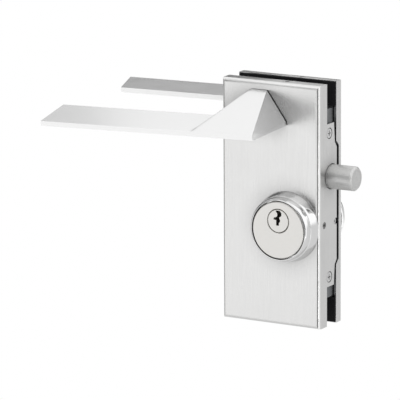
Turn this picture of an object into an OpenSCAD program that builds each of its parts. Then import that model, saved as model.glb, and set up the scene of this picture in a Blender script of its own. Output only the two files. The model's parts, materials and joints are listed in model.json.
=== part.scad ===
// Patch lock with two levers for a frameless glass door, in millimetres.
// X points out of the door's edge with the bolt, Y points through the glass to the
// rear, Z is up. The origin is the middle of the covers, at mid glass.

/* [Glass and gaskets] */
// Thickness of the glass door
glass_t = 10; // [8:0.5:12]
// Thickness of each gasket when clamped
gasket_t = 1.2; // [0.8:0.1:2]
// Distance of the notch in the glass from the lock case
notch_gap = 1; // [0.5:0.5:3]

/* [Covers] */
// Width of both covers
cover_w = 63; // [62:0.5:68]
// Height of both covers
cover_h = 140; // [138:1:150]
// Depth of the front cover from rim to face
front_depth = 9.3; // [9.2:0.1:12]
// Depth of the rear cover from rim to face
rear_depth = 7.7; // [7.6:0.1:10]
// Thickness of the cover sheet
sheet = 1.4; // [1:0.1:1.6]
// Outer radius of the bent edges
bend_r = 2.5; // [2:0.1:4]
// Gap between a cover's rim and the glass, filled by the gasket's lip
rim_gap = 0.45; // [0.3:0.05:0.6]
// Distance of a gasket's edge from the outside of the cover
lip_inset = 0.3; // [0.2:0.1:0.6]

/* [Edge tab of the front cover] */
// Distance of the tab's ends from the covers' ends
tab_down = 23; // [20:1:26]
// Half height of the wide middle of the tab
tab_mid_half = 32.5; // [28:0.5:36]
// Height of the slanted step at each end of the middle
tab_step = 3; // [2:0.5:5]
// How far the tab's ends reach past mid glass
tab_end_reach = 2.7; // [1:0.1:4]
// How far the tab's middle reaches past mid glass
tab_mid_reach = 6; // [5.5:0.1:7]
// Gap between the tab and the notched rear cover
tab_gap = 2.5; // [1.5:0.1:3]
// Distance of the tab screws from the tab's ends
tab_screw_in = 5.5; // [5:0.1:7]
// Distance of the tab screws in front of mid glass
tab_screw_y = 2.6; // [2:0.1:3.5]

/* [Lock case] */
// Depth of the glass notch side of the case, left of the origin
case_left = 22; // [22:0.5:24]
// Gap from the case to the outer face of the covers' edge
case_inset = 2.9; // [2:0.1:4]
// Distance of the case's ends from the covers' ends
case_down = 15.5; // [12:0.5:16]
// Half thickness of the case
case_half_t = 9.8; // [9.6:0.1:10]
// Wall of the case and thickness of its lid
case_wall = 1.5; // [1.2:0.1:2]
// Thickness of the case wall that guides the bolt
forend_t = 3; // [2.5:0.5:5]
// Thickness of each clamp plate
clamp_t = 4.8; // [4.6:0.1:5.5]

/* [Bolt] */
// Diameter of the bolt
bolt_d = 14; // [12:0.5:14]
// How far the bolt stands out of the covers
bolt_throw = 16; // [12:0.5:17]
// Distance of the bolt's axis below the rocker's pivot
bolt_down = 17.65; // [17:0.05:18]
// Chamfer of the bolt's end
bolt_chamfer = 1; // [0.5:0.1:2]
// Thickness of the bolt's tail plate
tail_t = 3.7; // [3:0.1:4]
// Height of the bolt's tail plate
tail_h = 11; // [10:0.5:12]

/* [Levers and their mechanism] */
// Sideways place of the spindle
spindle_x = -7; // [-8:0.5:-6]
// Distance of the spindle below the covers' top
spindle_down = 14.5; // [13:0.5:15]
// Width across flats of the square spindle
spindle_w = 8; // [7:0.5:8]
// Turn of the levers from rest to fully pressed
lever_travel = 45; // [35:1:50]
// Distance of the rocker's pivot below the spindle
axis_gap = 21.5; // [20.5:0.5:22.5]
// Length of the rocker's lower arm
rocker_arm = 18; // [17:0.5:19]
// Diameter of the pin that the rocker turns on
pivot_d = 5; // [4:0.5:5]
// Distance of the levers' outer edge from mid glass
lever_reach = 58; // [54:1:65]
// Width of the lever blades
blade_w = 31; // [24:1:34]
// Thickness of the lever blades
blade_t = 2.9; // [2.5:0.1:4]
// Distance of the blades' inner edge below the spindle
blade_down = 3.8; // [2:0.1:5]
// Slope of the front blade down to its free end, in degrees
front_droop = 2; // [0:0.1:3]
// Slope of the rear blade down to its free end, in degrees
rear_droop = 1.1; // [0:0.1:3]
// Sideways tilt of the front blade, outer edge down, in degrees
front_tilt = 7.7; // [0:0.1:10]
// Sideways tilt of the rear blade, outer edge up, in degrees
rear_tilt = 0.8; // [0:0.1:5]
// Length of the front blade's outer edge, left of the origin
front_len = 126.5; // [100:0.5:150]
// Length of the rear blade's outer edge, left of the origin
rear_len = 135.1; // [100:0.1:150]
// Slant of the front blade's end, its inner corner further out
front_slant = 3.8; // [0:0.1:6]
// Slant of the rear blade's end, its inner corner set back
rear_slant = 12.2; // [0:0.1:14]
// Flare of a blade's outer edge past the neck's foot
end_flare = 2.1; // [1:0.1:3]
// How far the rear blade's outer edge stays short of that at its neck end
rear_short = 8.6; // [4:0.1:12]
// Distance of the necks from the covers
neck_gap = 0.8; // [0.4:0.1:1]
// Half width of the neck's narrow top
neck_top_half = 5.4; // [4:0.1:7]
// Half width of the neck's foot
neck_half = 17.5; // [15:0.5:19]
// Height of the neck's top above the spindle
neck_up = 9.7; // [9:0.1:12]
// Height of the neck's sides below its top
neck_fall = 16.8; // [14:0.1:18]
// Distance of the neck's underside below the spindle
neck_down = 9.4; // [9:0.1:10]
// Radius of the neck's round spigot
spigot_r = 7; // [6.5:0.1:7.5]

/* [Locking slide and cylinders] */
// How far the slide rises to lock
lock_lift = 5; // [4:0.1:5.5]
// Width of the slide's nose
nose_w = 4.4; // [4:0.1:4.6]
// Outer radius of the follower's locking sector
sector_r = 12.5; // [12:0.1:13]
// Sideways place of the cylinders
cyl_x = 11; // [10:0.5:11.5]
// Distance of the cylinders' middle below the bolt's axis
cyl_down = 28.45; // [28:0.05:31]
// Height of the plug above the cylinder's middle
plug_up = 5.35; // [4:0.05:6]
// Radius of the cylinder's body
cyl_body_r = 14.3; // [13.5:0.1:14.5]
// Radius of the cylinder's face
cyl_face_r = 16.5; // [16:0.1:16.8]
// Radius of the plug
plug_r = 6.45; // [6:0.05:7]
// Width of the groove round the plug's face
plug_groove = 0.5; // [0.2:0.05:0.6]
// Width of the groove between the cylinder's face and the collar
face_groove = 0.5; // [0.3:0.05:0.6]
// How far the front cylinder's face stands out of the cover
face_out = 10.8; // [8:0.1:14]
// How far the rear cylinder's face stands out of the cover
rear_face_out = 8.6; // [8:0.1:12]
// Radius of the collar at the cover
collar_r = 20.35; // [19:0.1:21]
// Radius of the collar where its side meets the rounded lip
collar_mid_r = 18.85; // [18.5:0.1:20]
// Depth of the collar's rounded lip
lip_depth = 4.4; // [3:0.1:5]
// Turn of the key and the thumb turn
key_travel = 90; // [60:5:90]

/* [Fasteners] */
// Diameter of the small set screws
set_d = 3.6; // [3:0.1:4]
// Depth of the cylinders' set screws below the covers' edge
set_sink = 0.9; // [0.5:0.1:2]
// Height of the set screws that hold the cylinders, above the cylinders' middle
set_up = 1.6; // [0:0.1:3]
// Distance of the front set screw in front of mid glass
front_set_y = 8.7; // [8:0.1:10]
// Distance of the rear set screw behind mid glass
rear_set_y = 4.9; // [4.5:0.1:6]
// Sideways place of the set screws in the top and bottom edges
cover_set_x = 7; // [0:0.5:12]
// Diameter of the clamp screws
clamp_d = 5; // [4:0.5:5]
// Head radius of the two tab screws
tab_head_r = 2.75; // [2.5:0.05:3]
// Width of the ring left open round a tab screw's head
tab_ring = 0.5; // [0.3:0.05:0.6]
// Depth of the seat of a tab screw's head
tab_sink = 0.9; // [0.8:0.05:1]

/* [Clearances] */
// Radial clearance of a shaft in its bore
run = 0.05; // [0.02:0.01:0.1]
// Gap between moving plates
gap = 0.4; // [0.3:0.05:0.5]
// Gap of a fixed piece in its seat
seat = 0.1; // [0.05:0.05:0.2]
// Side gap of a pin in a driving slot
slot_gap = 0.3; // [0.3:0.05:0.4]

/* [Hidden] */
$fn = 64;

// Heights, from the covers' top down
spindle_z = cover_h / 2 - spindle_down;
blade_z = spindle_z - blade_down;
rocker_z = spindle_z - axis_gap;
bolt_z = rocker_z - bolt_down;
cyl_z = bolt_z - cyl_down;
set_z = cyl_z + set_up;
case_half_h = cover_h / 2 - case_down;
tab_half = cover_h / 2 - tab_down;
tab_screw_z = tab_half - tab_screw_in;

// Levels through the glass
rim_y = glass_t / 2 + rim_gap;
front_y = rim_y + front_depth;
rear_y = rim_y + rear_depth;
plate_in = glass_t / 2 + gasket_t;
plate_out = plate_in + clamp_t;
head_y = front_y - sheet - 0.4;
edge_x = cover_w / 2;
case_right = edge_x - case_inset;
plate_left = edge_x - sheet - 0.6;
plate_half_h = cover_h / 2 - sheet - 1;
tab_x = edge_x - sheet;
tab_shank_r = tab_head_r - 0.95;
tab_screw_len = 6;

// Layers of the mechanism, front to rear
slide_y0 = 0;
slide_y1 = 2.5;
tail_y1 = -0.5;
tail_y0 = tail_y1 - tail_t;
rocker_y1 = tail_y0 - gap;
rocker_y0 = -case_half_t + case_wall + 0.3;
crank_y0 = -3.7;
crank_y1 = slide_y0 - gap;
front_end_y = 4;
rear_end_y = 3;

// Rocker and follower geometry
rocker_half = asin(bolt_throw / 2 / rocker_arm);
lever_half = lever_travel / 2;
drive_r = tan(rocker_half) * axis_gap / (sin(lever_half) + tan(rocker_half) * cos(lever_half));
drive_pin_r = 2;
swing_pin_r = 2.5;
hub_r = 7;
fork_gap = drive_pin_r + slot_gap + 0.15;
fork_end = axis_gap - drive_r * cos(lever_half) + 1.2;
sector_over = 28;
lobe_r = hub_r + 3.3;
boss_r = case_right - cyl_x - 0.2;
blade_right = spindle_x + neck_half + end_flare;
spindle_in = 12;
lever_screw_in = 7;
lever_screw_r = 2;
lever_screw_len = 4.6;
bush_wall = 1.6;
bush_flange_r = spigot_r + bush_wall + 1;

// Crank and slide geometry
plug_z = cyl_z + plug_up;
crank_pin_r = 1.5;
keyway_len = 17;
room_side = 8;
room_over = 8;
room_under = 4.5;
crank_r = lock_lift / 2 / sin(key_travel / 2);
crank_rest_z = plug_z - lock_lift / 2;
nose_top = spindle_z - sector_r - 0.5;
bar_w = 4;
bar_t = 1.5;
slide_top = rocker_z + pivot_d / 2 + run + 1.1;

// Bolt geometry at rest, fully thrown
bolt_inner = 19;
tail_inner = 3.4;
bolt_back = spindle_x + bolt_inner;
tail_back = spindle_x + tail_inner;
tail_in_bolt = 8;
rivet_in = [2.5, 5.5];
rivet_r = 1;
swing_x = spindle_x + bolt_throw / 2;
guide_r = bolt_d / 2 + run;
bolt_bush_r = case_half_t - case_wall - 0.4;
lug_w = 3.6;
spring_z = bolt_z - bolt_d / 2 - 3;
spring_r = 1.4;
wire_r = 0.4;
wire_end = 1.6;
spring_x0 = tail_back + lug_w + 1;
spring_x1 = case_right - forend_t - 1;
spring_turns = 12;
spring_y = (tail_y0 + tail_y1) / 2;

// Places of the clamp screws and lid screws, X and Z
clamp_in = 5;
clamp_forend = 8;
clamp_x = [clamp_in - case_left, case_right - clamp_forend];
clamp_z = case_half_h - clamp_in - 0.5;
clamp_at = [[clamp_x[0], -clamp_z], [clamp_x[1], -clamp_z], [clamp_x[1], clamp_z],
    [clamp_x[0], rocker_z - 2]];
clamp_post_r = clamp_d / 2 + 1.8;
lid_in = 3.3;
lid_low = 7.2;
lid_side = 16;
lid_right = 1.7;
lid_over = 4.3;
lid_at = [[lid_in - case_left, rocker_z - lid_low],
    [spindle_x + lid_side, case_half_h - lid_in],
    [case_right - forend_t - lid_right, bolt_z + bolt_bush_r + lid_over]];
lid_post_r = 2.3;
lid_screw_r = 1.25;
lid_head_r = 2.25;
lid_screw_len = 5.5;

// A cylinder along Y from y0 to y1
module y_cyl(r, y0, y1) {
    translate([0, y0, 0]) rotate([-90, 0, 0]) cylinder(r = r, h = y1 - y0);
}

// A cylinder along X from x0 to x1
module x_cyl(r, x0, x1) {
    translate([x0, 0, 0]) rotate([0, 90, 0]) cylinder(r = r, h = x1 - x0);
}

// An X-Z outline given thickness from y0 to y1
module y_slab(y0, y1) {
    translate([0, y1, 0]) rotate([90, 0, 0]) linear_extrude(y1 - y0) children();
}

// A Y-Z outline given thickness from x0 to x1
module x_slab(x0, x1) {
    translate([x0, 0, 0]) rotate([90, 0, 90]) linear_extrude(x1 - x0) children();
}

// A box from its two corners
module box(a, b) {
    translate(a) cube(b - a);
}

// Moves to a place in the X-Z plane
module at_xz(p) {
    translate([p[0], 0, p[1]]) children();
}

// A headless set screw along +X, its hex socket at x1
module set_screw_x(x0, x1) {
    difference() {
        x_cyl(set_d / 2, x0, x1);
        translate([x1 - 1.8, 0, 0]) rotate([0, 90, 0]) cylinder(r = 1.1, h = 2, $fn = 6);
    }
}

// Section of a cover: rim at 0, rounded face edges at d
module cover_section(w, d, r) {
    translate([-w / 2, 0]) square([w, d - r]);
    translate([r - w / 2, 0]) square([w - 2 * r, d]);
    for (s = [-1, 1]) {
        translate([s * (w / 2 - r), d - r]) circle(r = r);
    }
}

// Block with rounded face edges on all four sides, rim at Y = 0 and face at Y = d
module cover_block(w, h, d, r) {
    intersection() {
        translate([0, 0, -h / 2]) linear_extrude(h) cover_section(w, d, r);
        translate([w / 2, 0, 0]) rotate([0, -90, 0]) linear_extrude(w) cover_section(h, d, r);
    }
}

// Open shell of a cover, rim at Y = 0
module cover_shell(d) {
    difference() {
        cover_block(cover_w, cover_h, d, bend_r);
        translate([0, -1, 0])
            cover_block(cover_w - 2 * sheet, cover_h - 2 * sheet, d - sheet + 1, bend_r - sheet);
    }
}

// Y-Z outline of the tab, grown by g, from y0 on the front side
module tab_outline(y0, g) {
    ends = tab_end_reach + g;
    mid = tab_mid_reach + g;
    step = tab_mid_half + g / 2;
    polygon([[y0, -tab_half], [ends, -tab_half], [ends + 1, -step - tab_step],
        [mid, -step], [mid, step], [ends + 1, step + tab_step],
        [ends, tab_half], [y0, tab_half]]);
}

// Hole along Z for the cover set screws at top and bottom
module edge_set_holes(y) {
    for (s = [-1, 1]) {
        translate([cover_set_x, y, s * (cover_h / 2 - sheet / 2)])
            cylinder(r = set_d / 2 + seat, h = sheet + 2, center = true);
    }
}

module front_cover() {
    color("gainsboro") difference() {
        union() {
            translate([0, -rim_y, 0]) mirror([0, 1, 0]) cover_shell(front_depth);
            x_slab(tab_x, edge_x) tab_outline(-rim_y - 1, 0);
        }
        at_xz([cyl_x, cyl_z]) y_cyl(cyl_body_r + 0.3, -front_y - 1, -front_y + 3);
        at_xz([spindle_x, spindle_z]) y_cyl(spigot_r + bush_wall, -front_y - 1, -front_y + 3);
        edge_set_holes(-(plate_in + plate_out) / 2);
        translate([0, 0, bolt_z]) x_cyl(bolt_d / 2 + 0.45, tab_x - 1, edge_x + 1);
        translate([0, -front_set_y, set_z]) x_cyl(set_d / 2 + seat, tab_x - 1, edge_x + 1);
        translate([0, rear_set_y, set_z]) x_cyl(set_d / 2 + seat, tab_x - 1, edge_x + 1);
        for (s = [-1, 1]) {
            translate([0, -tab_screw_y, s * tab_screw_z]) {
                x_cyl(tab_shank_r + 0.05, tab_x - 1, edge_x);
                x_cyl(tab_head_r + tab_ring, edge_x - tab_sink, edge_x + 1);
            }
        }
    }
}

module rear_cover() {
    color("gainsboro") difference() {
        translate([0, rim_y, 0]) cover_shell(rear_depth);
        x_slab(tab_x - 1, edge_x + 1) rear_notch();
        at_xz([cyl_x, cyl_z]) y_cyl(cyl_body_r + 0.3, rear_y - 3, rear_y + 1);
        at_xz([spindle_x, spindle_z]) y_cyl(spigot_r + bush_wall, rear_y - 3, rear_y + 1);
        edge_set_holes((plate_in + plate_out) / 2);
    }
}

// Y-Z outline of the notch that clears the tab's middle
module rear_notch() {
    deep = tab_mid_reach + tab_gap;
    half = tab_mid_half + 0.5;
    polygon([[rim_y - 1, -half - tab_step - 1], [rim_y, -half - tab_step], [deep, -half],
        [deep, half], [rim_y, half + tab_step], [rim_y - 1, half + tab_step + 1]]);
}

// X-Z outline of the lock case, grown by g
module case_outline(g) {
    translate([-case_left - g, -case_half_h - g])
        square([case_left + case_right + 2 * g, 2 * (case_half_h + g)]);
    translate([spindle_x, spindle_z]) circle(r = lobe_r + g);
}

// X-Z outline of the mechanism pocket
module pocket_outline() {
    difference() {
        union() {
            translate([case_wall - case_left, pocket_z0()])
                square([case_left + case_right - case_wall - forend_t,
                    case_half_h - case_wall - pocket_z0()]);
            translate([spindle_x, spindle_z]) circle(r = lobe_r - 1.2);
        }
        for (i = [2, 3]) {
            translate(clamp_at[i]) circle(r = clamp_post_r);
        }
        for (p = lid_at) {
            translate(p) circle(r = lid_post_r);
        }
    }
}

// Floor height of the mechanism pocket
function pocket_z0() = cyl_z + cyl_body_r + 1.4;

// X-Z outline that lies on the glass
module plate_outline() {
    translate([-plate_left, -plate_half_h]) square([plate_left + case_right, 2 * plate_half_h]);
}

// Clamp plate at positive Y, with the pocket that holds the case
module clamp_plate() {
    difference() {
        y_slab(plate_in, plate_out) plate_outline();
        y_slab(plate_in - 1, case_half_t + seat) case_outline(seat + 0.05);
        translate([case_right - 1, plate_in - 1, -case_half_h - seat])
            cube([3, case_half_t + seat - plate_in + 1, 2 * (case_half_h + seat)]);
        at_xz([cyl_x, cyl_z]) y_cyl(case_right - cyl_x + 0.3, plate_in - 1, plate_out + 1);
        at_xz([spindle_x, spindle_z]) y_cyl(bush_flange_r + 0.3, plate_in - 1, plate_out + 1);
        for (p = clamp_at) {
            at_xz(p) y_cyl(clamp_d / 2 + seat / 2, plate_in - 1, plate_out + 1);
        }
        for (s = [-1, 1]) {
            translate([cover_set_x, (plate_in + plate_out) / 2, s * (plate_half_h - 5)])
                cylinder(r = set_d / 2 + seat / 2, h = 12, center = true);
        }
    }
}

module front_clamp_plate() {
    color("dimgray") mirror([0, 1, 0]) clamp_plate();
}

module rear_clamp_plate() {
    color("dimgray") clamp_plate();
}

// Outline of the gasket's lip, which lies under the cover's rim
module lip_outline() {
    half_w = edge_x - lip_inset;
    half_h = cover_h / 2 - lip_inset;
    translate([-half_w, -half_h]) square([half_w + case_right, 2 * half_h]);
    for (z = [-half_h, tab_half + 1]) {
        translate([-half_w, z]) square([2 * half_w, half_h - tab_half - 1]);
    }
}

// Gasket at positive Y
module gasket() {
    difference() {
        union() {
            y_slab(glass_t / 2, plate_in) plate_outline();
            y_slab(glass_t / 2, rim_y) lip_outline();
        }
        y_slab(glass_t / 2 - 1, plate_in + 1) {
            case_outline(notch_gap);
            translate([case_right - 1, -case_half_h - notch_gap])
                square([5, 2 * (case_half_h + notch_gap)]);
        }
    }
}

module front_gasket() {
    color([0.07, 0.07, 0.08]) mirror([0, 1, 0]) gasket();
}

module rear_gasket() {
    color([0.07, 0.07, 0.08]) gasket();
}

module lock_case() {
    color([0.35, 0.36, 0.37]) difference() {
        union() {
            y_slab(-case_half_t, case_half_t) case_outline(0);
            at_xz([cyl_x, cyl_z]) y_cyl(boss_r, -head_y, rear_y - sheet - 0.4);
            for (s = [-1, 1]) {
                translate([0, -tab_screw_y, s * tab_screw_z]) x_cyl(4.5, case_right - 1, tab_x);
            }
        }
        difference() {
            y_slab(-case_half_t - 1, case_half_t - case_wall) pocket_outline();
            at_xz([cyl_x, cyl_z]) y_cyl(boss_r, -case_half_t - 1, -case_half_t);
        }
        case_lid_seat();
        box([spindle_x - room_side + 2, -front_end_y, cyl_z - room_under],
            [cyl_x + room_side, rear_end_y, bolt_z - room_over]);
        at_xz([cyl_x, cyl_z]) y_cyl(cyl_body_r + seat, -head_y - 1, -front_end_y);
        at_xz([cyl_x, cyl_z]) y_cyl(cyl_body_r + seat, rear_end_y, rear_y);
        at_xz([spindle_x, spindle_z]) y_cyl(hub_r + run, 0, case_half_t + 1);
        at_xz([spindle_x, rocker_z]) y_cyl(pivot_d / 2, 0, case_half_t + 1);
        translate([0, 0, bolt_z]) x_cyl(bolt_bush_r + seat / 2, spring_x1, case_right + 1);
        translate([0, spring_y, spring_z - spring_r])
            x_cyl(wire_r + seat / 2, spring_x1, spring_x1 + 1 + wire_end + 0.3);
        for (p = clamp_at) {
            at_xz(p) y_cyl(clamp_d / 2 + seat / 2, -case_half_t - 1, case_half_t + 1);
        }
        translate([0, -front_set_y, set_z]) x_cyl(set_d / 2 + seat / 2, cyl_x, edge_x);
        translate([0, rear_set_y, set_z]) x_cyl(set_d / 2 + seat / 2, cyl_x, edge_x);
        for (s = [-1, 1]) {
            translate([0, -tab_screw_y, s * tab_screw_z])
                x_cyl(tab_shank_r + seat / 2, tab_x - tab_screw_len - 0.4, tab_x + 1);
        }
        for (p = lid_at) {
            at_xz(p) y_cyl(lid_screw_r + seat / 2, -case_half_t,
                -case_half_t + lid_screw_len + 0.5);
        }
    }
}

// Step that the lid lies in
module case_lid_seat() {
    y_slab(-case_half_t - 1, -case_half_t + case_wall) difference() {
        lid_outline(seat);
        translate([cyl_x, cyl_z]) circle(r = boss_r);
    }
}

// X-Z outline of the lid, grown by g
module lid_outline(g) {
    low = cyl_z + 15;
    translate([-case_left - g, low - g])
        square([case_left + case_right - 1 + 2 * g, case_half_h - low + 2 * g]);
    translate([spindle_x, spindle_z]) circle(r = lobe_r + g);
}

module case_lid() {
    y0 = -case_half_t;
    y1 = -case_half_t + case_wall;
    color([0.62, 0.63, 0.64]) difference() {
        y_slab(y0, y1) difference() {
            lid_outline(0);
            translate([cyl_x, cyl_z]) circle(r = boss_r + seat);
        }
        at_xz([spindle_x, spindle_z]) y_cyl(hub_r + run, y0 - 1, y1 + 1);
        at_xz([spindle_x, rocker_z]) y_cyl(pivot_d / 2, y0 - 1, y1 + 1);
        for (i = [2, 3]) {
            at_xz(clamp_at[i]) y_cyl(clamp_d / 2 + seat / 2, y0 - 1, y1 + 1);
        }
        for (p = lid_at) {
            at_xz(p) translate([0, y0 - 0.01, 0]) rotate([-90, 0, 0])
                cylinder(r1 = lid_head_r + seat, r2 = lid_screw_r + seat / 2,
                    h = case_wall + 0.02);
        }
    }
}

module lid_screws() {
    y0 = -case_half_t;
    color("silver") for (p = lid_at) {
        at_xz(p) difference() {
            union() {
                translate([0, y0, 0]) rotate([-90, 0, 0])
                    cylinder(r1 = lid_head_r, r2 = lid_screw_r, h = 1.2);
                y_cyl(lid_screw_r, y0, y0 + lid_screw_len);
            }
            box([-lid_screw_r, y0 - 1, -0.25], [lid_screw_r, y0 + 0.5, 0.25]);
        }
    }
}

module clamp_screws() {
    color("silver") for (p = clamp_at) {
        at_xz(p) difference() {
            union() {
                y_cyl(clamp_d * 0.85, -head_y, -plate_out);
                y_cyl(clamp_d / 2, -head_y, plate_out - 0.3);
            }
            translate([0, -head_y - 1, 0]) rotate([-90, 0, 0])
                cylinder(r = 1.4, h = 2.2, $fn = 6);
        }
    }
}

module tab_screws() {
    color("silver") for (s = [-1, 1]) {
        translate([0, -tab_screw_y, s * tab_screw_z]) difference() {
            union() {
                x_cyl(tab_head_r, edge_x - tab_sink + 0.02, edge_x - 0.15);
                x_cyl(tab_shank_r, tab_x - tab_screw_len, edge_x - tab_sink + 0.1);
            }
            for (a = [0, 90]) {
                rotate([a, 0, 0]) box([edge_x - 1.6, -0.4, -1.6], [edge_x + 1, 0.4, 1.6]);
            }
        }
    }
}

module cover_set_screws() {
    color("silver") for (s = [-1, 1], t = [-1, 1]) {
        translate([cover_set_x, t * (plate_in + plate_out) / 2, 0])
            mirror([0, 0, s < 0 ? 1 : 0]) rotate([0, -90, 0])
            set_screw_x(cover_h / 2 - 8, cover_h / 2 - 0.3);
    }
}

module cylinder_set_screws() {
    reach = cyl_body_r + seat / 2;
    color("silver") for (y = [-front_set_y, rear_set_y]) {
        translate([0, y, set_z]) set_screw_x(cyl_x + reach, edge_x - set_sink);
    }
}

// Collar round a cylinder, its foot at Y = 0 and its lip towards -Y, out from the foot
module collar(out) {
    bore = cyl_face_r + face_groove;
    step = out - 5;
    mid = out - lip_depth;
    round_r = collar_mid_r - 0.25 - bore - 0.25;
    rotate([90, 0, 0]) rotate_extrude($fn = 96) polygon([
        [cyl_body_r + 0.3, 0], [collar_r - 0.4, 0], [collar_r, 0.4], [collar_mid_r, mid],
        for (a = [0 : 15 : 90])
            [bore + 0.25 + round_r * cos(a), mid + lip_depth * sin(a)],
        [bore, out], [bore, step], [cyl_body_r + 0.3, step]]);
}

module front_collar() {
    color("whitesmoke") translate([cyl_x, -front_y, cyl_z]) collar(face_out);
}

module rear_collar() {
    color("whitesmoke") translate([cyl_x, rear_y, cyl_z]) mirror([0, 1, 0])
        collar(rear_face_out);
}

// Stepped cylinder with its face at y0 and the end of its body at y1, along +Y
module cylinder_body(y0, y1) {
    difference() {
        union() {
            translate([cyl_x, y0, cyl_z]) rotate([-90, 0, 0])
                cylinder(r1 = cyl_face_r - 0.4, r2 = cyl_face_r, h = 0.4, $fn = 96);
            at_xz([cyl_x, cyl_z]) y_cyl(cyl_face_r, y0 + 0.4, y0 + 5);
            at_xz([cyl_x, cyl_z]) y_cyl(cyl_body_r, y0, y1);
        }
        at_xz([cyl_x, plug_z]) y_cyl(plug_r + run, y0 - 1, y1 + 1);
        at_xz([cyl_x, plug_z]) y_cyl(plug_r + plug_groove, y0 - 1, y0 + 2 * plug_groove);
    }
}

module front_cylinder() {
    color([0.86, 0.85, 0.82]) cylinder_body(-front_y - face_out, -front_end_y);
}

module rear_cylinder() {
    color([0.86, 0.85, 0.82])
        mirror([0, 1, 0]) cylinder_body(-rear_y - rear_face_out, -rear_end_y);
}

// Keyway outline round the plug's axis, wide at the top
module keyway() {
    polygon([[-1.3, 5.9], [1.1, 5.9], [2.1, 4.6], [2.1, 3.2], [0.8, 2.2], [0.8, 1.3],
        [1.3, 0.6], [1.2, -0.4], [0.5, -1], [0.5, -2.6], [-1.2, -2.6], [-1.2, -0.5],
        [-1, 0.4], [-2.8, 0.7], [-2.8, 1.7], [-1.3, 2], [-0.5, 3], [-0.5, 4.4], [-1.3, 5]]);
}

module front_plug() {
    y0 = -front_y - face_out;
    color([0.83, 0.81, 0.77]) difference() {
        at_xz([cyl_x, plug_z]) y_cyl(plug_r, y0, crank_y0);
        at_xz([cyl_x, plug_z]) y_slab(y0 - 1, y0 + keyway_len) keyway();
        at_xz([cyl_x, plug_z]) bar(-9, crank_y0 + 1, seat / 2);
    }
}

// Flat bar along the plug's axis, grown by g
module bar(y0, y1, g) {
    box([-bar_w / 2 - g, y0, -bar_t / 2 - g], [bar_w / 2 + g, y1, bar_t / 2 + g]);
}

module tailpiece() {
    color("silver") at_xz([cyl_x, plug_z]) bar(-8.9, rear_end_y + 8, 0);
}

module crank() {
    color("goldenrod") at_xz([cyl_x, plug_z]) difference() {
        union() {
            y_cyl(crank_r + crank_pin_r + 0.6, crank_y0, crank_y1);
            rotate([0, 180 - key_travel / 2, 0]) translate([crank_r, 0, 0])
                y_cyl(crank_pin_r, crank_y1 - 1, slide_y1 - 0.1);
        }
        bar(crank_y0 - 1, crank_y1 + 1, seat / 2);
    }
}

module thumb_turn() {
    face = rear_y + rear_face_out;
    color([0.86, 0.85, 0.82]) at_xz([cyl_x, plug_z]) difference() {
        union() {
            y_cyl(plug_r, rear_end_y + 0.4, face + 1);
            y_cyl(plug_r + 1.6, face + 0.4, face + 2.6);
            intersection() {
                y_cyl(plug_r + 1.6, face + 1, face + 11);
                box([-2.6, face + 1, -9], [2.6, face + 11, 9]);
            }
        }
        bar(rear_end_y, rear_end_y + 9, seat / 2);
    }
}

module lock_slide() {
    arm_x0 = spindle_x - 5;
    arm_x1 = spindle_x + 2;
    wide = pivot_d / 2 + run + 2.6;
    slot_low = rocker_z - lock_lift - 0.1;
    fork_x = cyl_x - crank_r * cos(key_travel / 2);
    fork_half = crank_pin_r + 0.25;
    foot_half = 4.2;
    color([0.72, 0.66, 0.45]) difference() {
        union() {
            box([spindle_x - nose_w / 2, slide_y0, rocker_z],
                [spindle_x + nose_w / 2, slide_y1, nose_top]);
            box([spindle_x - wide, slide_y0, bolt_z + tail_h - 2],
                [spindle_x + wide, slide_y1, slide_top]);
            box([arm_x0, slide_y0, crank_rest_z - foot_half],
                [arm_x1, slide_y1, bolt_z + tail_h]);
            box([arm_x0, slide_y0, crank_rest_z - foot_half],
                [fork_x + 0.1, slide_y1, crank_rest_z + foot_half]);
        }
        y_slab(slide_y0 - 1, slide_y1 + 1) union() {
            translate([spindle_x - pivot_d / 2 - run, slot_low])
                square([pivot_d + 2 * run, lock_lift + 0.1]);
            for (z = [slot_low, rocker_z]) {
                translate([spindle_x, z]) circle(r = pivot_d / 2 + run);
            }
        }
        box([cyl_x - crank_r - crank_pin_r - 0.4, slide_y0 - 1, crank_rest_z - fork_half],
            [cyl_x, slide_y1 + 1, crank_rest_z + fork_half]);
    }
}

// Point of a front blade: x along it, w out from its inner edge, t below its top
function blade_point(tilt, droop, x, w, t) =
    let (z = x * sin(droop) - t * cos(droop))
    [x * cos(droop) + t * sin(droop),
        blade_w - lever_reach - w * cos(tilt) - z * sin(tilt),
        blade_z - w * sin(tilt) + z * cos(tilt)];

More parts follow.
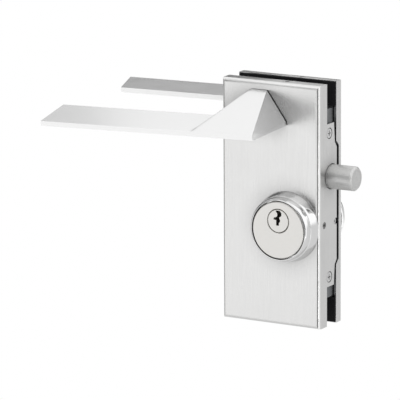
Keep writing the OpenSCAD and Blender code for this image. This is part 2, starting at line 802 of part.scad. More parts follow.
// Neck and blade for the front; the free end is at x0 on the outer, x1 on the inner edge,
// and the outer edge's neck end is at x2
module lever_body(tilt, droop, x0, x1, x2) {
    foot_y = front_y + neck_gap;
    top = spindle_z + neck_up;
    side = top - neck_fall;
    low = spindle_z - neck_down;
    left = spindle_x - neck_half - end_flare;
    // Points 0 to 5
    foot = [[spindle_x - neck_top_half, top], [spindle_x + neck_top_half, top],
        [spindle_x + neck_half, side], [spindle_x + neck_half, low],
        [left, low], [left, side + 1]];
    // Points 6 to 15, each at the blade's top and at its underside
    rim = [[left - 0.5, 0], [left - 0.5, blade_w], [x2, blade_w],
        [x0, blade_w], [x1, 0]];
    neck_faces = [[0, 5, 4, 3, 2, 1], [1, 2, 10], [2, 3, 11], [2, 11, 10], [0, 1, 10],
        [0, 10, 8], [0, 8, 6], [0, 6, 5], [5, 6, 7], [4, 5, 7], [4, 7, 9], [3, 4, 11],
        [4, 9, 11]];
    blade_faces = [[6, 12, 14], [6, 8, 12], [8, 10, 9], [9, 10, 11], [8, 13, 12],
        [8, 9, 13], [12, 15, 14], [12, 13, 15], [6, 14, 7], [7, 14, 15], [7, 15, 13],
        [7, 13, 9]];
    polyhedron(points = concat([for (p = foot) [p[0], -foot_y, p[1]]],
        [for (p = rim, t = [0, blade_t]) blade_point(tilt, droop, p[0], p[1], t)]),
        faces = concat(neck_faces, blade_faces), convexity = 6);
}

// Cuts in a front lever for the spindle and its screw
module lever_cuts() {
    foot_y = front_y + neck_gap;
    half = spindle_w / 2 + run;
    at_xz([spindle_x, spindle_z]) {
        box([-half, -foot_y - spindle_in - 0.2, -half], [half, -foot_y + 5, half]);
        translate([0, -foot_y - lever_screw_in, -13])
            cylinder(r = lever_screw_r + seat / 2, h = 12);
    }
}

// Round foot of a lever that turns in the cover's bush
module spigot() {
    foot_y = front_y + neck_gap;
    at_xz([spindle_x, spindle_z]) y_cyl(spigot_r, -foot_y - 2, -front_y + sheet);
}

module front_lever() {
    color("gainsboro") difference() {
        union() {
            lever_body(front_tilt, front_droop, -front_len, -front_len - front_slant,
                blade_right);
            spigot();
        }
        lever_cuts();
    }
}

// Rear lever, drawn at the front and mirrored
module rear_lever() {
    color("gainsboro") mirror([0, 1, 0]) translate([0, front_y - rear_y, 0]) difference() {
        union() {
            lever_body(-rear_tilt, rear_droop, -rear_len, rear_slant - rear_len,
                blade_right - rear_short);
            spigot();
        }
        lever_cuts();
    }
}

module spindle() {
    half = spindle_w / 2;
    color("silver") at_xz([spindle_x, spindle_z])
        box([-half, -front_y - neck_gap - spindle_in, -half],
            [half, rear_y + neck_gap + spindle_in, half]);
}

module lever_screws() {
    half = spindle_w / 2;
    reach = neck_gap + lever_screw_in;
    color([0.2, 0.2, 0.2]) for (y = [-front_y - reach, rear_y + reach]) {
        translate([spindle_x, y, spindle_z - half - lever_screw_len]) difference() {
            cylinder(r = lever_screw_r, h = lever_screw_len);
            translate([0, 0, -1]) cylinder(r = 1.1, h = 3, $fn = 6);
        }
    }
}

// Bush in a cover's spindle hole, for the front
module lever_bush() {
    at_xz([spindle_x, spindle_z]) difference() {
        union() {
            y_cyl(spigot_r + bush_wall, -front_y, -front_y + sheet);
            y_cyl(bush_flange_r, -front_y + sheet, -front_y + sheet + 1);
        }
        y_cyl(spigot_r + run, -front_y - 1, -front_y + sheet + 2);
    }
}

module front_lever_bush() {
    color([0.12, 0.12, 0.13]) lever_bush();
}

module rear_lever_bush() {
    color([0.12, 0.12, 0.13])
        mirror([0, 1, 0]) translate([0, front_y - rear_y, 0]) lever_bush();
}

// X-Z wedge from angle a0 to a1
module wedge(r, a0, a1) {
    intersection() {
        circle(r = r);
        polygon([[0, 0], for (a = [a0, (a0 + a1) / 2, a1]) 2 * r * [cos(a), sin(a)]]);
    }
}

module follower() {
    half = spindle_w / 2 + run;
    arm = -90 - lever_half;
    notch = nose_w + 2 * 0.25;
    floor_r = sector_r - lock_lift - 0.1 + 0.5;
    color([0.72, 0.66, 0.45]) at_xz([spindle_x, spindle_z]) difference() {
        union() {
            y_cyl(hub_r, -case_half_t, case_half_t);
            y_slab(tail_y0, tail_y1) rotate(arm) {
                translate([0, -3.2]) square([drive_r, 6.4]);
                translate([drive_r, 0]) circle(r = 3.2);
            }
            rotate([0, -arm, 0]) translate([drive_r, 0, 0])
                y_cyl(drive_pin_r, rocker_y0 + 0.1, tail_y1);
            y_slab(tail_y1 - 0.1, slide_y1) difference() {
                wedge(sector_r, -90 - lever_travel - sector_over, sector_over - 90);
                for (a = [-90, -90 - lever_travel]) {
                    rotate(a) translate([floor_r - 0.5, -notch / 2]) square([sector_r, notch]);
                }
            }
        }
        box([-half, -case_half_t - 1, -half], [half, case_half_t + 1, half]);
    }
}

module rocker() {
    side = 2.4;
    fork_w = 2 * (fork_gap + side);
    color([0.55, 0.56, 0.58]) at_xz([spindle_x, rocker_z]) difference() {
        union() {
            y_slab(rocker_y0, rocker_y1) rotate(rocker_half) {
                circle(r = pivot_d / 2 + 3);
                translate([-fork_w / 2, 0]) square([fork_w, fork_end]);
                translate([-3.2, -rocker_arm]) square([6.4, rocker_arm]);
                translate([0, -rocker_arm]) circle(r = 4);
            }
            rotate([0, -rocker_half, 0]) translate([0, 0, -rocker_arm])
                y_cyl(swing_pin_r, rocker_y1 - 1, tail_y1 - 0.2);
        }
        y_slab(rocker_y0 - 1, rocker_y1 + 1) rotate(rocker_half)
            translate([-fork_gap, axis_gap - drive_r - drive_pin_r - 0.6])
            square([2 * fork_gap, fork_end]);
        y_cyl(pivot_d / 2 + run, rocker_y0 - 1, rocker_y1 + 1);
    }
}

module rocker_pin() {
    color("silver") at_xz([spindle_x, rocker_z]) y_cyl(pivot_d / 2, -case_half_t, case_half_t);
}

module bolt() {
    end = edge_x + bolt_throw;
    color([0.72, 0.72, 0.71]) translate([0, 0, bolt_z]) difference() {
        union() {
            x_cyl(bolt_d / 2, bolt_back, end - bolt_chamfer);
            translate([end - bolt_chamfer, 0, 0]) rotate([0, 90, 0])
                cylinder(r1 = bolt_d / 2, r2 = bolt_d / 2 - bolt_chamfer, h = bolt_chamfer);
        }
        box([bolt_back - 1, tail_y0 - seat / 2, -tail_h / 2 - seat / 2],
            [bolt_back + tail_in_bolt, tail_y1 + seat / 2, tail_h / 2 + seat / 2]);
        for (x = rivet_in) {
            translate([bolt_back + x, 0, 0]) y_cyl(rivet_r, -bolt_d / 2, bolt_d / 2);
        }
        // Shallow groove where the bolt leaves the covers
        difference() {
            x_cyl(bolt_d / 2 + 1, edge_x + 0.1, edge_x + 0.6);
            x_cyl(bolt_d / 2 - 0.3, edge_x, edge_x + 1);
        }
    }
}

module tail_rivets() {
    color("silver") for (x = rivet_in) {
        translate([bolt_back + x, 0, bolt_z]) y_cyl(rivet_r, 0.4 - bolt_d / 2, bolt_d / 2 - 0.4);
    }
}

module bolt_tail() {
    slot_w = swing_pin_r + slot_gap;
    low = rocker_z - rocker_arm;
    high = rocker_z - rocker_arm * cos(rocker_half);
    color([0.6, 0.61, 0.62]) difference() {
        union() {
            box([tail_back, tail_y0, bolt_z - tail_h / 2 - 1.2],
                [bolt_back - 0.5, tail_y1, bolt_z + tail_h / 2 + 1.2]);
            box([bolt_back - 1, tail_y0, bolt_z - tail_h / 2],
                [bolt_back + tail_in_bolt, tail_y1, bolt_z + tail_h / 2]);
            box([tail_back, tail_y0, spring_z - 2.4],
                [tail_back + lug_w, tail_y1, bolt_z]);
        }
        y_slab(tail_y0 - 1, tail_y1 + 1) union() {
            translate([swing_x - slot_w, low]) square([2 * slot_w, high - low]);
            for (z = [low, high]) {
                translate([swing_x, z]) circle(r = slot_w);
            }
        }
        for (x = rivet_in) {
            translate([bolt_back + x, 0, bolt_z]) y_cyl(rivet_r, tail_y0 - 1, tail_y1 + 1);
        }
        translate([0, spring_y, spring_z - spring_r])
            x_cyl(wire_r + seat / 2, tail_back + lug_w - wire_end - 0.3, tail_back + lug_w + 1);
    }
}

module bolt_bush() {
    color("goldenrod") translate([0, 0, bolt_z]) difference() {
        x_cyl(bolt_bush_r, case_right - 2 * forend_t, case_right + 0.5);
        x_cyl(guide_r, bolt_back, case_right + 1);
    }
}

// One ring of the spring's wire round the point c, across u and v
function wire_ring(c, u, v, sides) = [for (i = [0 : sides - 1])
    c + wire_r * cos(360 * i / sides) * u + wire_r * sin(360 * i / sides) * v];

// Extension spring with straight ends in the tail's lug and the case wall
module bolt_spring() {
    sides = 6;
    per_turn = 10;
    turns = spring_turns * per_turn;
    rings = turns + 2;
    pitch = (spring_x1 - spring_x0) / turns;
    coil = [for (k = [0 : turns])
        let (a = 360 * k / per_turn, out = [0, cos(a), sin(a)])
        wire_ring([spring_x0 + pitch * k, 0, 0] + spring_r * out, out,
            k == 0 || k == turns ? [1, 0, -1] : [1, 0, 0], sides)];
    ends = [for (x = [spring_x0 - 1 - wire_end, spring_x1 + 1 + wire_end])
        wire_ring([x, spring_r, 0], [0, 1, 0], [0, 0, -1], sides)];
    points = [each ends[0], for (ring = coil) each ring, each ends[1]];
    skin = [for (k = [0 : rings - 1], i = [0 : sides - 1])
        let (a = k * sides + i, b = k * sides + (i + 1) % sides)
        each [[a, b, b + sides], [a, b + sides, a + sides]]];
    first = [for (i = [0 : sides - 1]) sides - 1 - i];
    last = [for (i = [0 : sides - 1]) rings * sides + i];
    color("silver") translate([0, spring_y, spring_z]) rotate([-90, 0, 0])
        polyhedron(points = points, faces = concat(skin, [first, last]), convexity = 10);
}

front_cover();
rear_cover();
front_clamp_plate();
rear_clamp_plate();
front_gasket();
rear_gasket();
lock_case();
case_lid();
lid_screws();
clamp_screws();
tab_screws();
cover_set_screws();
cylinder_set_screws();
front_collar();
rear_collar();
front_cylinder();
rear_cylinder();
front_plug();
tailpiece();
crank();
thumb_turn();
lock_slide();
front_lever();
rear_lever();
spindle();
follower();
lever_screws();
front_lever_bush();
rear_lever_bush();
rocker();
rocker_pin();
bolt();
bolt_tail();
tail_rivets();
bolt_bush();
bolt_spring();
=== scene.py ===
import json
import math

import bmesh
import bpy
from mathutils import Matrix, Vector


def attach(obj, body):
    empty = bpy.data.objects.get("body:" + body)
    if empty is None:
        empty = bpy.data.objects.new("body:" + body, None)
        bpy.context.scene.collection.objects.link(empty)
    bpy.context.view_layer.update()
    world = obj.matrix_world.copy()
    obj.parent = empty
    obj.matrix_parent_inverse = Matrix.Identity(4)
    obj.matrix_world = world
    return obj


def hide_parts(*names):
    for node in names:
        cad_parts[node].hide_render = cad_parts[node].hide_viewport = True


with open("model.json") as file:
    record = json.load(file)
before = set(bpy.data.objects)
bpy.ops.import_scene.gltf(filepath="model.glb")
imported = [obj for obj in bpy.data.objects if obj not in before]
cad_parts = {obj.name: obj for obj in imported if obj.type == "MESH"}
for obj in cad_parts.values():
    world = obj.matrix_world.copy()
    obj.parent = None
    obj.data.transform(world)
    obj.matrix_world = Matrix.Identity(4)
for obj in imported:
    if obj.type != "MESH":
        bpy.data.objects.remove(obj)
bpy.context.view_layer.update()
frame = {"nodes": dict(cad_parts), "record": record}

MM = 0.001

# Camera, solved from the covers' edges in the photograph: azimuth, elevation and roll in
# degrees, then metres back, right and up from the origin, and the focal length in pixels
CAMERA_ANGLES = (30.31, 12.31, -0.35)
CAMERA_PLACE = (2.24719, -0.04719, -0.00066)
FOCAL_PX = 3948.35
PHOTO_PX = 400
SENSOR_MM = 36

# Axes of the turned pieces, in metres
CYLINDER_AXIS = ((0.011, 0.0, -0.0121), "Y")
BOLT_AXIS = ((0.0, 0.0, 0.01635), "X")

# Bevels of the solids, in millimetres
BEVEL = 0.15
BEVELS = {
    "front_cover": 0.3, "rear_cover": 0.3,
    "front_collar": 0.12, "rear_collar": 0.12,
    "front_plug": 0.3, "front_cylinder": 0.3,
    "bolt": 0.25, "thumb_turn": 0.6,
    "lid_screws": 0.1, "tab_screws": 0.08, "lever_screws": 0.08,
    "cover_set_screws": 0.08, "cylinder_set_screws": 0.08,
}
SAME_POINT = 2e-6
SAME_PLANE = math.radians(0.3)
SHARP = math.radians(35)

# Sizes of the levers, in millimetres, as the solids have them
FRONT_Y = 14.75
REAR_Y = 13.15
SPINDLE_X = -7.0
SPINDLE_Z = 55.5
NECK_GAP = 0.8
BLADE_W = 31.0
BLADE_T = 2.9
REACH = 58.0
BLADE_Z = 51.7
NECK_TOP_HALF = 5.4
NECK_HALF = 17.5
FLARE = 2.1
NECK_UP = 9.7
NECK_FALL = 16.8
NECK_DOWN = 9.4

# Each lever: node, tilt and droop in degrees, left end at the outer and the inner edge,
# right end, and whether it is the rear one
LEVERS = [
    ("front_lever", 7.7, 2.0, -126.5, -130.3, 12.6, False),
    ("rear_lever", -0.8, 1.1, -135.1, -122.9, 4.0, True),
]

# Faces of a lever by point number: the upper ones, which the fillets bend, and the others
UPPER_FACES = [(1, 0, 10), (0, 8, 10), (0, 6, 8), (6, 14, 12, 8)]
OTHER_FACES = [
    (0, 1, 2, 3, 4, 5), (2, 1, 10), (3, 2, 11), (2, 10, 11), (6, 0, 5), (6, 5, 7),
    (5, 4, 7), (7, 4, 9), (4, 3, 11), (4, 11, 9), (10, 8, 9, 11), (8, 12, 13, 9),
    (12, 14, 15, 13), (14, 6, 7, 15), (15, 7, 9, 13),
]

# Planes that cut a lever's skin into strips, so that the fillets have points to bend
CUTS = [((1.2 * i, 0, 0), (1, 0, 0)) for i in range(-48, 11)]
CUTS += [((0, y, 0), (0, 1, 0)) for y in range(-56, -16, 2)]

# Fillets of a lever: on the neck's ridge at its foot, how much that one grows over its
# length, in the corner between neck and blade, and the rounding of the hard edges
RIDGE_SOFT = 0.4
RIDGE_GROWS = 0.8
RIDGE_LENGTH = 30
CORNER_SOFT = 0.4
LEVER_EDGE = 0.35
LEVER_SHARP = math.radians(30)

# What metal mirrors: a tone by the sine of the height over the horizon, and areas laid
# over it, each with its centre, outer and inner angle in degrees, and tone
BAND = [(-1.0, 1.0), (-0.3, 1.08), (-0.11, 1.04), (-0.01, 0.45), (0.07, 0.08),
        (0.22, 0.12), (0.32, 0.5), (0.45, 0.74), (0.65, 1.0), (1.0, 1.0)]
AREAS = [
    ((0.8, 0.35, 0.45), 58, 54, 1.15),
    ((-0.46, -0.32, 0.83), 24, 12, 1.15),
    ((-0.85, -0.36, 0.38), 31, 26, 0.02),
    ((0.6, -0.79, -0.03), 25, 16, 0.02),
    ((0.5, -0.74, 0.45), 19, 12, 0.12),
    ((-0.49, -0.87, 0.0), 13, 4, 0.95),
    ((0.55, 0.83, -0.1), 27, 15, 0.64),
    ((0.85, 0.45, -0.3), 28, 16, 0.7),
    ((-0.98, -0.05, -0.25), 30, 18, 0.35),
]
ROOM_LIGHT = 0.8

# Lamps: name, place, aim, size, radiance, and whether metal mirrors them
LAMPS = [
    ("key", (-0.9, -0.9, 1.3), (0, 0, 0), (0.9, 0.9), 1.4, False),
    ("rear", (-0.36, 0.75, 0.47), (0, 0, 0.04), (0.5, 0.3), 0.45, True),
    ("edge", (1.26, -0.73, -0.35), (0, 0, 0), (0.16, 0.6), 2.0, True),
    ("fill", (1.25, -0.55, 0.4), (0, 0, 0.05), (1.0, 1.0), 3.2, False),
]

# Floor: a round sheet that fades out for the camera between two radii
FLOOR_R = 0.72
FLOOR_Z = -0.35
FLOOR_SIDES = 96
FLOOR_FADE = (0.25, 0.71)
FLOOR_PLAIN = 0.7
FLOOR_MIRRORED = 0.6


def collection_link(obj):
    bpy.context.scene.collection.objects.link(obj)
    return obj


def make_camera():
    azimuth, elevation, roll = (math.radians(a) for a in CAMERA_ANGLES)
    back = Vector((
        math.sin(azimuth) * math.cos(elevation),
        -math.cos(azimuth) * math.cos(elevation),
        math.sin(elevation),
    ))
    right = Vector((math.cos(azimuth), math.sin(azimuth), 0))
    up = back.cross(right)
    axes = (
        back,
        math.cos(roll) * right + math.sin(roll) * up,
        math.cos(roll) * up - math.sin(roll) * right,
    )
    place = sum((by * axis for by, axis in zip(CAMERA_PLACE, axes)), Vector())
    data = bpy.data.cameras.new("camera")
    data.sensor_width = SENSOR_MM
    data.lens = SENSOR_MM * FOCAL_PX / PHOTO_PX
    data.clip_start, data.clip_end = 0.1, 50
    cam = collection_link(bpy.data.objects.new("camera", data))
    turn = Matrix((axes[1], axes[2], back)).transposed().to_4x4()
    cam.matrix_world = Matrix.Translation(place) @ turn
    bpy.context.scene.camera = cam


class Graph:
    """Short calls that add nodes to a material's or the world's tree."""

    def __init__(self, tree):
        self.tree = tree
        tree.nodes.clear()

    def add(self, kind, inputs=None, **props):
        node = self.tree.nodes.new(kind)
        for key, value in props.items():
            setattr(node, key, value)
        for key, value in (inputs or {}).items():
            if isinstance(value, bpy.types.NodeSocket):
                self.tree.links.new(value, node.inputs[key])
            else:
                node.inputs[key].default_value = value
        return node

    def math(self, operation, a, b):
        return self.add("ShaderNodeMath", {0: a, 1: b}, operation=operation).outputs[0]

    def vector(self, operation, inputs):
        node = self.add("ShaderNodeVectorMath", inputs, operation=operation)
        return node.outputs["Value" if operation in ("LENGTH", "DOT_PRODUCT") else "Vector"]

    def remap(self, value, low, high, to_low=0.0, to_high=1.0, kind="LINEAR"):
        return self.add("ShaderNodeMapRange", {
            "Value": value, "From Min": low, "From Max": high,
            "To Min": to_low, "To Max": to_high,
        }, interpolation_type=kind).outputs["Result"]

    def mix(self, factor, a, b):
        return self.add("ShaderNodeMix", {0: factor, 6: a, 7: b}, data_type="RGBA").outputs[2]

    def mix_shaders(self, factor, a, b):
        return self.add("ShaderNodeMixShader", {
            0: factor, 1: a.outputs[0], 2: b.outputs[0],
        })

    def noise(self, vector, scale, detail, rough):
        return self.add("ShaderNodeTexNoise", {
            "Vector": vector, "Scale": scale, "Detail": detail, "Roughness": rough,
        }).outputs["Fac"]

    # 0 on flat faces, up to 1 on sharp edges
    def edges(self, radius, flat):
        rounded = self.add("ShaderNodeBevel", {"Radius": radius}, samples=4).outputs[0]
        facing = self.add("ShaderNodeNewGeometry").outputs["Normal"]
        return self.remap(self.vector("DOT_PRODUCT", {0: rounded, 1: facing}), flat, 0.8)


def new_material(name):
    made = bpy.data.materials.new(name)
    made.use_nodes = True
    return made, Graph(made.node_tree)


def grey(value, tint=(1, 1, 1)):
    return tuple(value * t for t in tint) + (1,)


def shade(color, factor, plus=0.0):
    return tuple(min(1, c * factor + plus) for c in color[:3]) + (1,)


# Metal with grain along one direction or round an axis, soft mottling, brighter rubbed
# edges and, where a corner shade is given, painted shade: the colour darkened by ambient
# occlusion in inner corners and next to other parts
def metal(name, color, rough, grain, depth=0.02, swing=0.03, rough_swing=0.06,
          aniso=0.0, turn=0.0, around="Z", radial=None, mottle=60, metallic=1.0, painted_corner_shade=0.0):
    made, g = new_material(name)
    place = g.add("ShaderNodeTexCoord").outputs["Object"]
    if radial:
        centre, axis = radial
        away = g.vector("SUBTRACT", {0: place, 1: centre})
        keep = tuple(0.0 if k == axis else 1.0 for k in "XYZ")
        radius = g.vector("LENGTH", {0: g.vector("MULTIPLY", {0: away, 1: keep})})
        along = g.add("ShaderNodeSeparateXYZ", {0: away}).outputs[axis]
        grain_at = g.add("ShaderNodeCombineXYZ", {
            0: g.math("MULTIPLY", radius, grain[0]), 1: g.math("MULTIPLY", along, grain[1]),
        }).outputs[0]
    else:
        grain_at = g.vector("MULTIPLY", {0: place, 1: grain})
    lines = g.noise(grain_at, 1.0, 2.0, 0.6)
    cloud = g.noise(place, mottle, 3.0, 0.55)
    lighter_edges = g.math("MULTIPLY", g.edges(0.0006, 0.995), g.remap(cloud, 0.3, 0.6, 0.4, 1.0))
    tone = g.math("ADD", g.math("MULTIPLY", lines, 0.6), g.math("MULTIPLY", cloud, 0.4))
    body = g.mix(g.remap(tone, 0.3, 0.7), shade(color, 1 - swing), shade(color, 1 + swing))
    body = g.mix(lighter_edges, body, shade(color, 1.06))
    if painted_corner_shade:
        # painted shade: ambient occlusion darkens the colour in inner corners and next to
        # other parts
        open_sky = g.add("ShaderNodeAmbientOcclusion", {"Distance": 0.014}, samples=8)
        painted_shade = g.remap(open_sky.outputs["AO"], 0.35, 0.95, 1 - painted_corner_shade, 1.0)
        body = g.vector("SCALE", {0: body, "Scale": painted_shade})
    shine = g.remap(tone, 0.3, 0.7, rough - rough_swing / 2, rough + rough_swing / 2)
    shine = g.math("SUBTRACT", shine, g.math("MULTIPLY", lighter_edges, rough * 0.25))
    bump = g.add("ShaderNodeBump", {"Height": lines, "Strength": depth, "Distance": 0.0002})
    inputs = {
        "Base Color": body, "Metallic": metallic, "Roughness": shine,
        "Normal": bump.outputs[0],
    }
    if aniso:
        inputs["Anisotropic"] = aniso
        inputs["Anisotropic Rotation"] = turn
        inputs["Tangent"] = g.add("ShaderNodeTangent", direction_type="RADIAL",
                                  axis=around).outputs[0]
    shader = g.add("ShaderNodeBsdfPrincipled", inputs)
    g.add("ShaderNodeOutputMaterial", {"Surface": shader.outputs[0]})
    return name, made


# Cast metal, rubber or nylon: a fine pitted surface
def pitted(name, color, rough, scale, depth, metallic=0.0, edge_wear_and_highlight=0.02, gloss=0.25):
    made, g = new_material(name)
    place = g.add("ShaderNodeTexCoord").outputs["Object"]
    fine = g.noise(place, scale, 4.0, 0.6)
    cloud = g.noise(place, scale / 20, 3.0, 0.5)
    tone = g.math("ADD", g.math("MULTIPLY", fine, 0.5), g.math("MULTIPLY", cloud, 0.5))
    lighter_edges = g.math("MULTIPLY", g.edges(0.0005, 0.99), fine)
    body = g.mix(g.remap(tone, 0.3, 0.7), shade(color, 0.85), shade(color, 1.15))
    # Sharp edges get a lighter colour: rubbed wear on the cast metal and nylon, and on the
    # rubber, where the lift is far larger, a painted highlight line
    body = g.mix(lighter_edges, body, shade(color, 1.6, edge_wear_and_highlight))
    bump = g.add("ShaderNodeBump", {"Height": fine, "Strength": depth, "Distance": 0.0002})
    shader = g.add("ShaderNodeBsdfPrincipled", {
        "Base Color": body, "Metallic": metallic, "Specular IOR Level": gloss,
        "Roughness": g.remap(tone, 0.3, 0.7, rough - 0.06, rough + 0.06),
        "Normal": bump.outputs[0],
    })
    g.add("ShaderNodeOutputMaterial", {"Surface": shader.outputs[0]})
    return name, made


# The looks by material slot
def make_looks():
    return dict((
        # the satin steel's colour is darkened next to the levers, the collar and other parts,
        # a painted shade
        metal("satin_steel", grey(0.82, (1, 0.998, 0.992)), 0.25, (2600, 2600, 45),
              depth=0.08, swing=0.06, aniso=0.7, turn=0.25, painted_corner_shade=0.5),
        metal("lever_steel", grey(0.88), 0.24, (90, 5000, 5000), depth=0.01, swing=0.01,
              aniso=0.2, around="X", metallic=0.74),
        metal("polished_steel", grey(0.86), 0.06, (8000, 8000), depth=0.004, swing=0.01,
              rough_swing=0.02, radial=CYLINDER_AXIS),
        metal("cylinder_nickel", grey(0.78, (1, 0.985, 0.955)), 0.3, (5000, 1000),
              depth=0.03, swing=0.02, radial=CYLINDER_AXIS),
        metal("bolt_steel", grey(0.6, (1, 1, 0.99)), 0.4, (300, 5000), depth=0.1,
              swing=0.14, radial=BOLT_AXIS, metallic=0.85, mottle=900),
        metal("plated_steel", grey(0.45, (0.98, 1, 1.02)), 0.42, (400, 400, 400),
              depth=0.05, swing=0.1),
        metal("screw_steel", grey(0.82), 0.26, (1500, 1500, 1500), depth=0.05, swing=0.05),
        pitted("cast_case", (0.16, 0.165, 0.17), 0.5, 2200, 0.35, metallic=0.3),
        metal("brass_parts", (0.72, 0.58, 0.33, 1), 0.32, (1800, 1800, 200), depth=0.05,
              swing=0.06),
        # the rubber's much lighter edges are a painted highlight line along the gap between
        # the covers
        pitted("gasket_rubber", (0.012, 0.012, 0.013), 0.6, 1800, 0.3, edge_wear_and_highlight=0.1,
               gloss=0.06),
        pitted("black_nylon", (0.02, 0.02, 0.021), 0.45, 1500, 0.15),
    ))


def even_normals(obj):
    flat = obj.modifiers.new("flat_faces", "WEIGHTED_NORMAL")
    flat.mode = "FACE_AREA"
    flat.weight = 100


# Each solid gets the look of its material slot in the record, and bevelled edges
def dress_nodes(looks):
    slots = {row["node"]: row["material_slot"] for row in frame["record"]["subparts"]}
    for name, obj in frame["nodes"].items():
        obj.data.materials.clear()
        obj.data.materials.append(looks[slots[name]])
        weld = obj.modifiers.new("weld", "WELD")
        weld.merge_threshold = SAME_POINT
        if name == "bolt_spring":
            continue
        is_cover = name.endswith("cover")
        if is_cover:
            merge = obj.modifiers.new("merge_flat_faces", "DECIMATE")
            merge.decimate_type = "DISSOLVE"
            merge.angle_limit = SAME_PLANE
        bevel = obj.modifiers.new("bevel", "BEVEL")
        bevel.width = BEVELS.get(name, BEVEL) * MM
        bevel.segments = 3
        bevel.limit_method = "ANGLE"
        bevel.angle_limit = SHARP
        bevel.use_clamp_overlap = True
        bevel.harden_normals = True
        if is_cover:
            even_normals(obj)


# Point of a blade: x along it, w across it from its inner edge, t down from its top
def blade_point(tilt, droop, x, w, t):
    z = x * math.sin(droop) - t * math.cos(droop)
    return Vector((
        x * math.cos(droop) + t * math.sin(droop),
        BLADE_W - REACH - w * math.cos(tilt) - z * math.sin(tilt),
        BLADE_Z - w * math.sin(tilt) + z * math.cos(tilt),
    ))


def plane_height(a, b, c):
    normal = (b - a).cross(c - a)
    return lambda p: a.z - (normal.x * (p.x - a.x) + normal.y * (p.y - a.y)) / normal.z


def soft_less(a, b, k):
    h = max(k - abs(a - b), 0.0) / k
    return min(a, b) - h * h * k / 4


# Neck and blade in one skin: the neck's slopes run into the blade with soft fillets
def lever_mesh(name, tilt, droop, x0, x1, right, rear):
    tilt, droop = math.radians(tilt), math.radians(droop)
    top = SPINDLE_Z + NECK_UP
    side = top - NECK_FALL
    low = SPINDLE_Z - NECK_DOWN
    left = SPINDLE_X - NECK_HALF - FLARE
    foot_y = -(FRONT_Y + NECK_GAP)
    points = [Vector((x, foot_y, z)) for x, z in (
        (SPINDLE_X - NECK_TOP_HALF, top), (SPINDLE_X + NECK_TOP_HALF, top),
        (SPINDLE_X + NECK_HALF, side), (SPINDLE_X + NECK_HALF, low),
        (left, low), (left, side + 1),
    )]
    for x, w in ((left - 0.5, 0), (left - 0.5, BLADE_W), (right, BLADE_W),
                 (x0, BLADE_W), (x1, 0)):
        for t in (0, BLADE_T):
            points.append(blade_point(tilt, droop, x, w, t))
    bm = bmesh.new()
    verts = [bm.verts.new(p) for p in points]
    mark = bm.faces.layers.int.new("upper")
    for group, flag in ((UPPER_FACES, 1), (OTHER_FACES, 0)):
        for face in group:
            bm.faces.new([verts[i] for i in face])[mark] = flag
    bmesh.ops.recalc_face_normals(bm, faces=bm.faces)
    for place, normal in CUTS:
        bmesh.ops.bisect_plane(bm, geom=bm.verts[:] + bm.edges[:] + bm.faces[:],
                               plane_co=place, plane_no=normal, dist=1e-4)
    slope = plane_height(points[0], points[10], points[8])
    flank = plane_height(points[0], points[8], points[6])
    blade = plane_height(points[6], points[8], points[12])
    for v in bm.verts:
        if not any(f[mark] for f in v.link_faces):
            continue
        out = max(0.0, min(1.0, (foot_y - v.co.y) / RIDGE_LENGTH))
        neck = soft_less(slope(v.co), flank(v.co), RIDGE_SOFT + RIDGE_GROWS * out)
        v.co.z = -soft_less(-neck, -blade(v.co), CORNER_SOFT)
        if v.co.x > points[8].x and abs(v.co.y - foot_y) < 1e-3:
            v.co.z = min(v.co.z, top)
    mirror = Matrix.Diagonal((1, -1 if rear else 1, 1, 1))
    shift = Vector((0, REAR_Y - FRONT_Y if rear else 0, 0))
    for v in bm.verts:
        v.co = (mirror @ v.co + shift) * MM
    hard = [e for e in bm.edges if len(e.link_faces) == 2
            and e.calc_face_angle(0) > LEVER_SHARP]
    bmesh.ops.bevel(bm, geom=hard, offset=LEVER_EDGE * MM, offset_type="OFFSET",
                    segments=3, profile=0.5, affect="EDGES", clamp_overlap=True)
    bmesh.ops.recalc_face_normals(bm, faces=bm.faces)
    mesh = bpy.data.meshes.new(name)
    bm.to_mesh(mesh)
    bm.free()
    for polygon in mesh.polygons:
        polygon.use_smooth = True
    return collection_link(bpy.data.objects.new(name, mesh))


def make_levers(looks):
    for node, *shape in LEVERS:
        lever = lever_mesh(node + "_skin", *shape)
        lever.data.materials.append(looks["lever_steel"])
        even_normals(lever)
        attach(lever, "handle")
        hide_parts(node)


# The camera sees white behind the object, matt faces get an even light, and metal
# mirrors the tones of BAND and AREAS
def make_world():
    world = bpy.data.worlds.new("studio")
    bpy.context.scene.world = world
    world.use_nodes = True
    g = Graph(world.node_tree)
    path = g.add("ShaderNodeLightPath").outputs
    look = g.add("ShaderNodeTexCoord").outputs["Generated"]
    height = g.add("ShaderNodeSeparateXYZ", {0: look}).outputs["Z"]
    ramp = g.add("ShaderNodeValToRGB", {0: g.remap(height, -1, 1)})
    elements = ramp.color_ramp.elements
    while len(elements) < len(BAND):
        elements.new(0.5)
    for element, (z, tone) in zip(elements, BAND):
        element.position = (z + 1) / 2
        element.color = grey(tone)
    mirrored = ramp.outputs[0]
    for centre, outer, inner, tone in AREAS:
        close = g.vector("DOT_PRODUCT", {0: look, 1: Vector(centre).normalized()})
        within = g.remap(close, math.cos(math.radians(outer)), math.cos(math.radians(inner)),
                         kind="SMOOTHSTEP")
        mirrored = g.mix(within, mirrored, grey(tone))
    seen = g.math("MAXIMUM", path["Is Glossy Ray"], path["Is Transmission Ray"])
    room = g.add("ShaderNodeBackground", {"Color": grey(1), "Strength": ROOM_LIGHT})
    around = g.add("ShaderNodeBackground", {"Color": mirrored, "Strength": 1.0})
    white = g.add("ShaderNodeBackground", {"Color": grey(1), "Strength": 1.0})
    mixed = g.mix_shaders(seen, room, around)
    mixed = g.mix_shaders(path["Is Camera Ray"], mixed, white)
    g.add("ShaderNodeOutputWorld", {"Surface": mixed.outputs[0]})


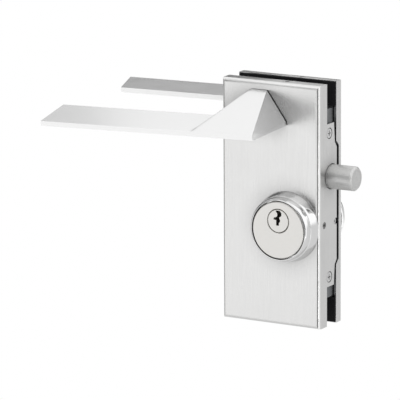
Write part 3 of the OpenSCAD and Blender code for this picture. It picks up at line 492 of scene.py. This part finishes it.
def make_lamp(name, place, aim, size, radiance, mirrored):
    data = bpy.data.lights.new(name, "AREA")
    data.shape = "RECTANGLE"
    data.size, data.size_y = size
    data.energy = radiance * math.pi * size[0] * size[1]
    lamp = collection_link(bpy.data.objects.new(name, data))
    lamp.location = place
    lamp.rotation_euler = (Vector(aim) - Vector(place)).to_track_quat("-Z", "Y").to_euler()
    lamp.visible_camera = False
    lamp.visible_glossy = mirrored


def make_floor():
    mesh = bpy.data.meshes.new("floor")
    ring = [(math.cos(a) * FLOOR_R, math.sin(a) * FLOOR_R, FLOOR_Z)
            for a in (math.tau * i / FLOOR_SIDES for i in range(FLOOR_SIDES))]
    mesh.from_pydata(ring, [], [tuple(range(FLOOR_SIDES))])
    floor = collection_link(bpy.data.objects.new("floor", mesh))
    made, g = new_material("floor")
    path = g.add("ShaderNodeLightPath").outputs
    seen = g.math("MAXIMUM", path["Is Glossy Ray"], path["Is Transmission Ray"])
    seen = g.math("MAXIMUM", seen, path["Is Camera Ray"])
    pale = g.add("ShaderNodeBsdfDiffuse", {"Color": grey(0.9)})
    tone = g.remap(path["Is Glossy Ray"], 0, 1, 1.0, FLOOR_MIRRORED)
    white = g.add("ShaderNodeEmission", {"Color": grey(1), "Strength": tone})
    mixed = g.mix_shaders(g.math("MULTIPLY", seen, FLOOR_PLAIN), pale, white)
    place = g.add("ShaderNodeTexCoord").outputs["Object"]
    away = g.vector("LENGTH", {0: g.vector("MULTIPLY", {0: place, 1: (1, 1, 0)})})
    fade = g.math("MULTIPLY", g.remap(away, *FLOOR_FADE, kind="SMOOTHSTEP"),
                  path["Is Camera Ray"])
    mixed = g.mix_shaders(fade, mixed, g.add("ShaderNodeBsdfTransparent"))
    g.add("ShaderNodeOutputMaterial", {"Surface": mixed.outputs[0]})
    mesh.materials.append(made)


make_camera()
make_world()
make_floor()
for lamp in LAMPS:
    make_lamp(*lamp)
looks = make_looks()
dress_nodes(looks)
make_levers(looks)
bpy.context.scene.view_settings.view_transform = "Standard"
